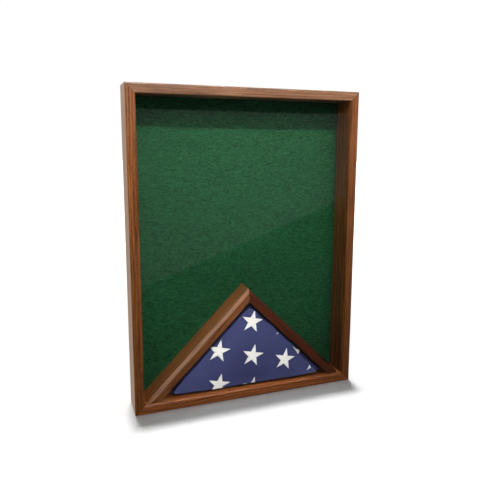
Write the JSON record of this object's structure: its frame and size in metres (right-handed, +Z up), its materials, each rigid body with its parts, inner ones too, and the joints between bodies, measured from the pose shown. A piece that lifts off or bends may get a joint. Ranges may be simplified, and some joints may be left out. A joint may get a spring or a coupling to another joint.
{
  "type": "folded flag display case",
  "caption": "Wall-hung walnut shadow box with a glass front, a triangular compartment holding a folded flag, and a felt-faced back that lifts out behind turn buttons.",
  "frame": {"origin": "bottom centre of the box around the whole case, with the wall bumpers and hangers included", "axes": "+Z up, +X to the right seen from the front, +Y from the glass towards the wall, so the front faces -Y"},
  "size_m": [0.4572, 0.0748, 0.6096],
  "materials": {
    "walnut": "satin lacquered walnut",
    "spline_wood": "raw beech",
    "glass": "clear float glass",
    "flag_cloth": "woven cotton with embroidered stars",
    "felt": "green felt",
    "foam_board": "paper-faced foam board",
    "backing_board": "hardboard",
    "zinc_plate": "zinc plated",
    "ring_steel": "zinc plated wire",
    "screw_steel": "zinc plated screw",
    "bumper_rubber": "soft rubber"
  },
  "bodies": {
    "case": {"frame_top_rail": "walnut", "frame_bottom_rail": "walnut", "frame_left_stile": "walnut", "frame_right_stile": "walnut", "mitre_splines": "spline_wood", "glass_pane": "glass", "compartment_left_leg": "walnut", "compartment_right_leg": "walnut", "apex_spline": "spline_wood", "leg_screws": "screw_steel", "folded_flag": "flag_cloth", "turn_button_screws": "screw_steel", "hanger_strap_left": "zinc_plate", "hanger_strap_right": "zinc_plate", "hanger_screws": "screw_steel", "wall_bumpers": "bumper_rubber"},
    "back_panel": {"felt_lining": "felt", "foam_board": "foam_board", "backing_board": "backing_board"},
    "turn_button_top_left": {"turn_button_top_left": "zinc_plate"},
    "turn_button_top_right": {"turn_button_top_right": "zinc_plate"},
    "turn_button_bottom_left": {"turn_button_bottom_left": "zinc_plate"},
    "turn_button_bottom_right": {"turn_button_bottom_right": "zinc_plate"},
    "turn_button_left_upper": {"turn_button_left_upper": "zinc_plate"},
    "turn_button_left_lower": {"turn_button_left_lower": "zinc_plate"},
    "turn_button_right_upper": {"turn_button_right_upper": "zinc_plate"},
    "turn_button_right_lower": {"turn_button_right_lower": "zinc_plate"},
    "hanger_ring_left": {"hanger_ring_left": "ring_steel"},
    "hanger_ring_right": {"hanger_ring_right": "ring_steel"}
  },
  "joints": [
    {"name": "back_panel_lift_out", "type": "slide", "parent": "case", "child": "back_panel", "axis": [0, 1, 0], "range_m": [0, 0.12]},
    {"name": "turn_button_top_left_turn", "type": "hinge", "parent": "case", "child": "turn_button_top_left", "pos_m": [-0.11887, 0.03343, 0.6031], "axis": [0, -1, 0], "continuous": true},
    {"name": "turn_button_top_right_turn", "type": "hinge", "parent": "case", "child": "turn_button_top_right", "pos_m": [0.11887, 0.03343, 0.6031], "axis": [0, 1, 0], "continuous": true},
    {"name": "turn_button_bottom_left_turn", "type": "hinge", "parent": "case", "child": "turn_button_bottom_left", "pos_m": [-0.11887, 0.03343, 0.0065], "axis": [0, 1, 0], "continuous": true},
    {"name": "turn_button_bottom_right_turn", "type": "hinge", "parent": "case", "child": "turn_button_bottom_right", "pos_m": [0.11887, 0.03343, 0.0065], "axis": [0, -1, 0], "continuous": true},
    {"name": "turn_button_left_upper_turn", "type": "hinge", "parent": "case", "child": "turn_button_left_upper", "pos_m": [-0.2221, 0.03343, 0.37795], "axis": [0, -1, 0], "continuous": true},
    {"name": "turn_button_left_lower_turn", "type": "hinge", "parent": "case", "child": "turn_button_left_lower", "pos_m": [-0.2221, 0.03343, 0.12192], "axis": [0, -1, 0], "continuous": true},
    {"name": "turn_button_right_upper_turn", "type": "hinge", "parent": "case", "child": "turn_button_right_upper", "pos_m": [0.2221, 0.03343, 0.37795], "axis": [0, 1, 0], "continuous": true},
    {"name": "turn_button_right_lower_turn", "type": "hinge", "parent": "case", "child": "turn_button_right_lower", "pos_m": [0.2221, 0.03343, 0.12192], "axis": [0, 1, 0], "continuous": true},
    {"name": "hanger_ring_left_swing", "type": "hinge", "parent": "case", "child": "hanger_ring_left", "pos_m": [-0.2221, 0.03503, 0.48768], "axis": [1, 0, 0], "range_deg": [0, 180]},
    {"name": "hanger_ring_right_swing", "type": "hinge", "parent": "case", "child": "hanger_ring_right", "pos_m": [0.2221, 0.03503, 0.48768], "axis": [1, 0, 0], "range_deg": [0, 180]}
  ]
}
